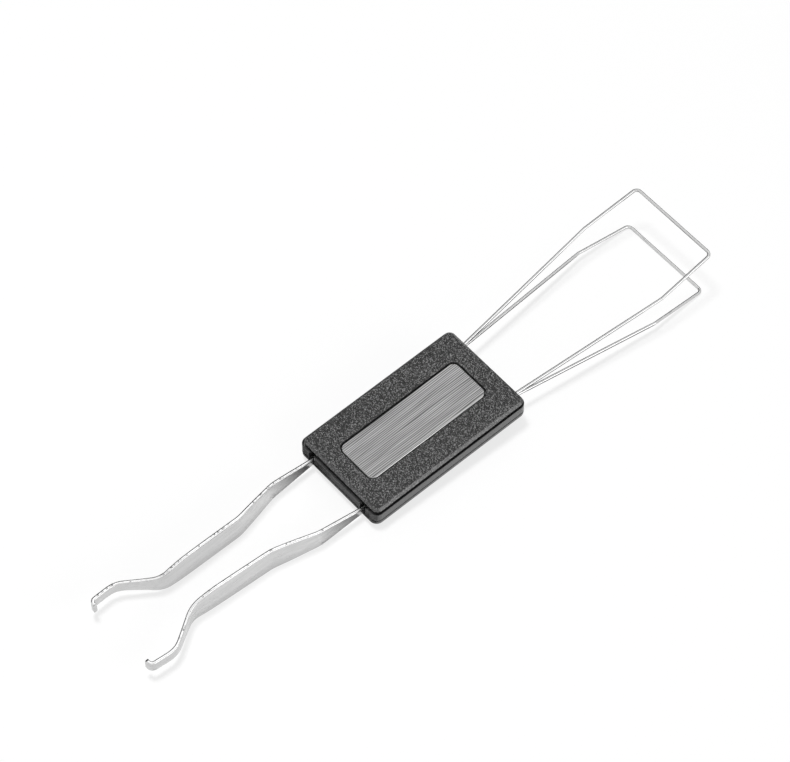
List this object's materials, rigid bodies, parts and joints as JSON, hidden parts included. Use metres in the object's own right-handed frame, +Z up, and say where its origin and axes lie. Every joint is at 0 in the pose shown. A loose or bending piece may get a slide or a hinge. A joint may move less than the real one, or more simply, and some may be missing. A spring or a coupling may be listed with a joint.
{
  "type": "keycap puller",
  "caption": "Slim two-ended keyboard tool: sprung wire loops lift keycaps off, a hooked steel fork pulls key switches, with a flat black handle and a brushed metal inlay between.",
  "frame": {"origin": "middle of the handle's flat underside", "axes": "+X along the tool towards the wire loops, +Y across the handle, +Z up out of the inlaid face"},
  "size_m": [0.1295, 0.021, 0.0129],
  "materials": {
    "grained_plastic": "fine spark-eroded grain, matte black",
    "smooth_plastic": "smooth satin black",
    "brushed_aluminium": "brushed along its length, bright bevelled rim",
    "strip_steel": "bright rolled strip with sheared edges",
    "wire_steel": "bright drawn wire"
  },
  "bodies": {
    "root": {"upper_shell": "grained_plastic", "lower_shell": "smooth_plastic", "inlay_plate": "brushed_aluminium", "switch_fork": "strip_steel", "upper_wire_loop": "wire_steel", "lower_wire_loop": "wire_steel"}
  },
  "joints": []
}
